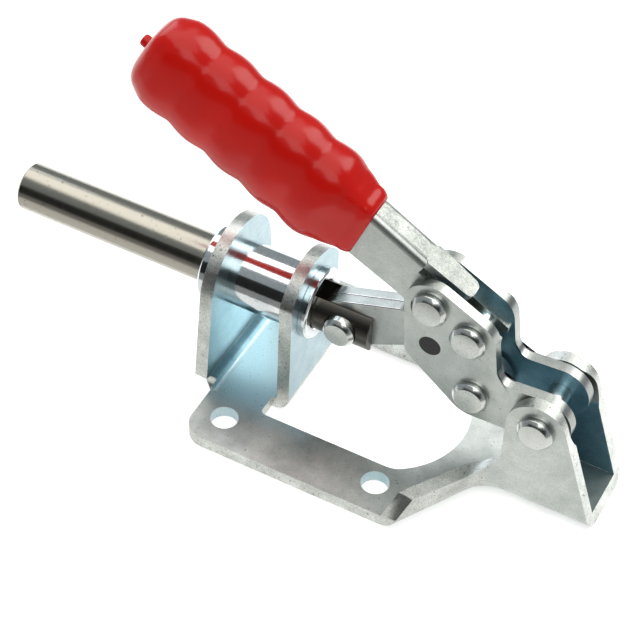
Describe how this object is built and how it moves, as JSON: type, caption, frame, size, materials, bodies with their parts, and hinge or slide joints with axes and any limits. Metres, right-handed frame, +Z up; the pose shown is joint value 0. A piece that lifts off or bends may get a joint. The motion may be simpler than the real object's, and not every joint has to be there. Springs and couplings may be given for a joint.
{
  "type": "toggle clamp",
  "caption": "Push-pull toggle clamp: round steel plunger in a guide bush, over-centre linkage, dipped grip handle and stamped flange base.",
  "frame": {"origin": "centre of the four bolt holes, on the underside of the base", "axes": "-X along the plunger towards the work, +Y towards the far side, +Z up from the mounting face"},
  "size_m": [0.1457, 0.058, 0.0877],
  "materials": {
    "zinc_sheet": "bright zinc plating on stamped sheet",
    "zinc_rivet": "bright zinc plating on cold-headed rivets",
    "bright_bush": "turned and bright zinc plated",
    "ground_steel": "bare ground bar, darkened at the clevis",
    "red_vinyl": "glossy dipped vinyl",
    "black_rubber": "matt"
  },
  "bodies": {
    "frame": {"frame": "zinc_sheet", "guide_bush": "bright_bush", "pivot_rivet": "zinc_rivet"},
    "plunger": {"plunger": "ground_steel", "plunger_pin": "zinc_rivet"},
    "handle": {"side_plate_near": "zinc_sheet", "side_plate_far": "zinc_sheet", "handle_arm": "zinc_sheet", "grip": "red_vinyl", "front_rivet": "zinc_rivet", "rear_rivet": "zinc_rivet", "link_rivet": "zinc_rivet", "bumper": "black_rubber"},
    "link": {"link_near": "zinc_sheet", "link_far": "zinc_sheet"}
  },
  "joints": [
    {"name": "handle_swing", "type": "hinge", "parent": "frame", "child": "handle", "pos_m": [0.0484, 0, 0.0244], "axis": [0, 1, 0], "range_deg": [0, 155]},
    {"name": "plunger_slide", "type": "slide", "parent": "frame", "child": "plunger", "axis": [1, 0, 0], "range_m": [0, 0.03099]},
    {"name": "link_turn", "type": "hinge", "parent": "handle", "child": "link", "pos_m": [0.03222, 0, 0.02361], "axis": [0, 1, 0], "range_deg": [-170.09, 0]}
  ],
  "couplings": [
    {"joint": "plunger_slide", "follows": "handle_swing", "m_per_rad": 0.011453},
    {"joint": "link_turn", "follows": "handle_swing", "ratio": -1.0973}
  ]
}
